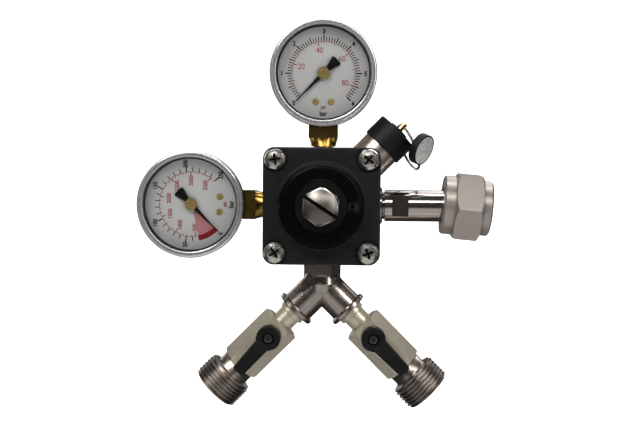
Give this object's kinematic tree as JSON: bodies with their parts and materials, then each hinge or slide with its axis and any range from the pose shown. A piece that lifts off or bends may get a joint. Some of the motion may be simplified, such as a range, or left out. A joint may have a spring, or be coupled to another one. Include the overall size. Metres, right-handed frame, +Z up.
{
  "type": "gas pressure regulator",
  "caption": "Carbon dioxide cylinder regulator with square bonnet, slotted adjusting screw, dial gauges, relief valve with pull ring, inlet union nut and a Y of ball valves.",
  "frame": {"origin": "centre of the inlet nipple's sealing face", "axes": "+X out of the inlet, +Z up towards the outlet pressure gauge, -Y towards the dials and the adjusting screw"},
  "size_m": [0.1705, 0.0627, 0.1863],
  "materials": {
    "nickel": "nickel plated brass, satin",
    "nickel_warm": "nickel plated brass, satin, slightly yellow",
    "brass": "bare brass",
    "black_coat": "matte black coating on die cast metal",
    "bright_steel": "polished steel",
    "zinc_steel": "zinc plated",
    "spring_steel": "bright wire",
    "ring_steel": "nickel plated wire",
    "rubber": "matte",
    "lens": "clear",
    "dial_white": "white lacquer",
    "pointer_black": "black lacquer",
    "sintered_bronze": "sintered",
    "washer_white": "smooth",
    "black_plastic": "moulded",
    "seal_metal": "silvery foil, faintly wrinkled",
    "ball_chrome": "polished",
    "seat_white": "waxy"
  },
  "bodies": {
    "regulator": {"regulator_body": "nickel", "bonnet": "black_coat", "bonnet_screws": "zinc_steel", "diaphragm": "rubber", "diaphragm_ring": "zinc_steel", "seat_nozzle": "brass", "rear_plug": "nickel", "range_spring": "spring_steel", "poppet_spring": "spring_steel", "low_case": "bright_steel", "low_bezel": "bright_steel", "low_lens": "lens", "low_dial": "dial_white", "low_dial_screws": "brass", "low_socket": "brass", "low_bourdon_tube": "brass", "low_movement": "brass", "high_case": "bright_steel", "high_bezel": "bright_steel", "high_lens": "lens", "high_dial": "dial_white", "high_dial_screws": "brass", "high_socket": "brass", "high_bourdon_tube": "brass", "high_movement": "brass", "inlet_stem": "nickel", "inlet_filter": "sintered_bronze", "relief_body": "nickel", "relief_cap": "black_plastic", "relief_spring": "spring_steel", "y_fitting": "nickel", "left_valve_body": "nickel_warm", "left_outlet_adapter": "nickel", "right_valve_body": "nickel_warm", "right_outlet_adapter": "nickel", "ball_seats": "seat_white"},
    "button": {"spring_button": "zinc_steel"},
    "adjuster": {"adjusting_screw": "zinc_steel"},
    "sensing": {"diaphragm_plate": "brass", "poppet": "brass"},
    "low_needle": {"low_pointer": "pointer_black", "low_pointer_shaft": "brass"},
    "low_quadrant": {"low_sector": "brass"},
    "high_needle": {"high_pointer": "pointer_black", "high_pointer_shaft": "brass"},
    "high_quadrant": {"high_sector": "brass"},
    "washer": {"inlet_washer": "washer_white"},
    "nut": {"inlet_nut": "nickel"},
    "relief": {"relief_stem": "brass"},
    "ring": {"pull_ring": "ring_steel"},
    "tag": {"seal_tag": "black_plastic", "seal_face": "seal_metal"},
    "left_handle": {"left_lever": "black_plastic", "left_lever_screw": "zinc_steel", "left_valve_stem": "brass", "left_ball": "ball_chrome"},
    "right_handle": {"right_lever": "black_plastic", "right_lever_screw": "zinc_steel", "right_valve_stem": "brass", "right_ball": "ball_chrome"}
  },
  "joints": [
    {"name": "adjust_travel", "type": "slide", "parent": "regulator", "child": "button", "axis": [0, -1, 0], "range_m": [-0.0012, 0.0045], "deforming": ["range_spring"]},
    {"name": "adjust_turn", "type": "hinge", "parent": "button", "child": "adjuster", "pos_m": [-0.068, -0.03, 0], "axis": [0, -1, 0], "range_deg": [-290, 1083]},
    {"name": "regulating", "type": "slide", "parent": "regulator", "child": "sensing", "axis": [0, 1, 0], "range_m": [0, 0.0008], "stiffness_N_per_m": 2000, "deforming": ["diaphragm", "poppet_spring"]},
    {"name": "low_needle_turn", "type": "hinge", "parent": "regulator", "child": "low_needle", "pos_m": [-0.068, 0, 0.063], "axis": [0, 1, 0], "range_deg": [0, 270]},
    {"name": "low_quadrant_turn", "type": "hinge", "parent": "regulator", "child": "low_quadrant", "pos_m": [-0.06121, 0, 0.05621], "axis": [0, 1, 0], "range_deg": [-54.2, 0.2]},
    {"name": "high_needle_turn", "type": "hinge", "parent": "regulator", "child": "high_needle", "pos_m": [-0.131, 0, 0], "axis": [0, 1, 0], "range_deg": [0, 270]},
    {"name": "high_quadrant_turn", "type": "hinge", "parent": "regulator", "child": "high_quadrant", "pos_m": [-0.12421, 0, 0.00679], "axis": [0, 1, 0], "range_deg": [-54.2, 0.2]},
    {"name": "nut_tilt", "type": "hinge", "parent": "regulator", "child": "washer", "pos_m": [0, 0, 0], "axis": [0, -1, 0], "range_deg": [0, 5]},
    {"name": "nut_spin", "type": "hinge", "parent": "washer", "child": "nut", "pos_m": [0, 0, 0], "axis": [0.9962, 0, -0.0872], "continuous": true},
    {"name": "relief_pull", "type": "slide", "parent": "regulator", "child": "relief", "axis": [0.7071, 0, 0.7071], "range_m": [0, 0.002], "stiffness_N_per_m": 3000, "deforming": ["relief_spring"]},
    {"name": "ring_swing", "type": "hinge", "parent": "relief", "child": "ring", "pos_m": [-0.02967, 0, 0.03833], "axis": [0.3536, -0.866, -0.3536], "range_deg": [0, 45]},
    {"name": "tag_swing", "type": "hinge", "parent": "ring", "child": "tag", "pos_m": [-0.02356, -0.00576, 0.02712], "axis": [-0.3389, -0.2136, 0.9162], "range_deg": [-20, 20]},
    {"name": "left_handle_turn", "type": "hinge", "parent": "regulator", "child": "left_handle", "pos_m": [-0.09275, -0.01, -0.06255], "axis": [0, 1, 0], "range_deg": [0, 90]},
    {"name": "right_handle_turn", "type": "hinge", "parent": "regulator", "child": "right_handle", "pos_m": [-0.04325, -0.01, -0.06255], "axis": [0, 1, 0], "range_deg": [0, 90]}
  ],
  "couplings": [
    {"joint": "adjust_turn", "follows": "adjust_travel", "rad_per_m": 4188.8},
    {"joint": "low_quadrant_turn", "follows": "low_needle_turn", "ratio": -0.2},
    {"joint": "high_quadrant_turn", "follows": "high_needle_turn", "ratio": -0.2}
  ]
}
